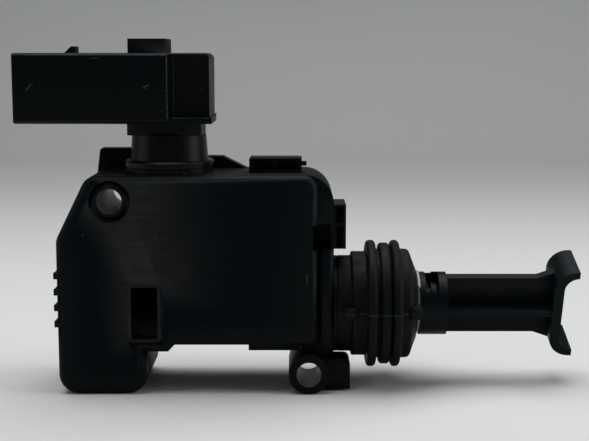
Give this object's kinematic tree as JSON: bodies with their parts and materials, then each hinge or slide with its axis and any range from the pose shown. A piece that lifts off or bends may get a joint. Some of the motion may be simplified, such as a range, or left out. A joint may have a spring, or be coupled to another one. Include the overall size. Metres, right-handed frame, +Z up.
{
  "type": "hood latch actuator",
  "caption": "Black moulded hood latch actuator: geared motor in an L-shaped casing with a neck connector, rubber bellows on a sliding plunger and a swivelling two-horned yoke.",
  "frame": {"origin": "on the axis of the upper mounting bore, at half the casing's depth, in the plunger's plane", "axes": "+X along the plunger towards the yoke, +Y through the casing from the cover to the back, +Z up from the foot to the connector"},
  "size_m": [0.1209, 0.0282, 0.0756],
  "materials": {
    "cover_plastic": "fine satin grain, moulded black",
    "housing_plastic": "fine satin grain, moulded black",
    "collar_plastic": "glossy moulded black",
    "connector_plastic": "satin moulded black",
    "sleeve_steel": "zinc plated, fine turned",
    "seal_rubber": "matt black",
    "bellows_rubber": "matt grey black with a light bloom",
    "buffer_rubber": "matt black",
    "contact_metal": "tinned brass",
    "motor_steel": "drawn and zinc plated",
    "end_cap_plastic": "matt black",
    "magnet_ferrite": "matt dark grey",
    "brush_metal": "phosphor bronze leaf",
    "bearing_bronze": "sintered bronze",
    "shaft_steel": "ground",
    "core_steel": "stacked sheet, matt",
    "winding_copper": "enamelled copper wire",
    "commutator_copper": "turned copper",
    "worm_brass": "machined, bright",
    "gear_plastic": "natural white, satin",
    "axle_steel": "ground",
    "bush_plastic": "natural, satin",
    "rod_plastic": "satin moulded black",
    "washer_plastic": "pale, satin",
    "yoke_plastic": "satin moulded black"
  },
  "bodies": {
    "housing": {"front_cover": "cover_plastic", "rear_housing": "housing_plastic", "housing_seal": "seal_rubber", "upper_sleeve": "sleeve_steel", "lower_sleeve": "sleeve_steel", "neck_collar": "collar_plastic", "connector_housing": "connector_plastic", "neck_seal": "seal_rubber", "contact_strip_front": "contact_metal", "contact_strip_rear": "contact_metal", "guide_bush": "bush_plastic", "stop_buffer": "buffer_rubber", "gear_axles": "axle_steel", "motor_can": "motor_steel", "motor_end_cap": "end_cap_plastic", "motor_magnets": "magnet_ferrite", "motor_brushes": "brush_metal", "motor_bearing": "bearing_bronze", "bellows": "bellows_rubber"},
    "armature": {"motor_shaft": "shaft_steel", "armature_core": "core_steel", "armature_windings": "winding_copper", "commutator": "commutator_copper", "worm": "worm_brass"},
    "wheel": {"worm_gear": "gear_plastic"},
    "gear": {"rack_gear": "gear_plastic"},
    "plunger": {"rack_rod": "rod_plastic", "end_washer": "washer_plastic"},
    "fork": {"yoke": "yoke_plastic"}
  },
  "joints": [
    {"name": "motor_spin", "type": "hinge", "parent": "housing", "child": "armature", "pos_m": [-0.0023, 0, -0.0262], "axis": [0, 0, 1], "range_deg": [0, 7576]},
    {"name": "worm_gear_spin", "type": "hinge", "parent": "housing", "child": "wheel", "pos_m": [0.006, 0, -0.00865], "axis": [0, 1, 0], "range_deg": [0, 445.7]},
    {"name": "rack_gear_spin", "type": "hinge", "parent": "housing", "child": "gear", "pos_m": [0.01887, 0, -0.012], "axis": [0, 1, 0], "range_deg": [-159.2, 0]},
    {"name": "plunger_slide", "type": "slide", "parent": "housing", "child": "plunger", "axis": [1, 0, 0], "range_m": [0, 0.01], "deforming": ["bellows"]},
    {"name": "yoke_swivel", "type": "hinge", "parent": "plunger", "child": "fork", "pos_m": [0.0695, 0, -0.0241], "axis": [1, 0, 0], "range_deg": [-38.8, 0]}
  ],
  "couplings": [
    {"joint": "rack_gear_spin", "follows": "plunger_slide", "rad_per_m": -277.78},
    {"joint": "worm_gear_spin", "follows": "plunger_slide", "rad_per_m": 777.78},
    {"joint": "motor_spin", "follows": "plunger_slide", "rad_per_m": 13222}
  ]
}
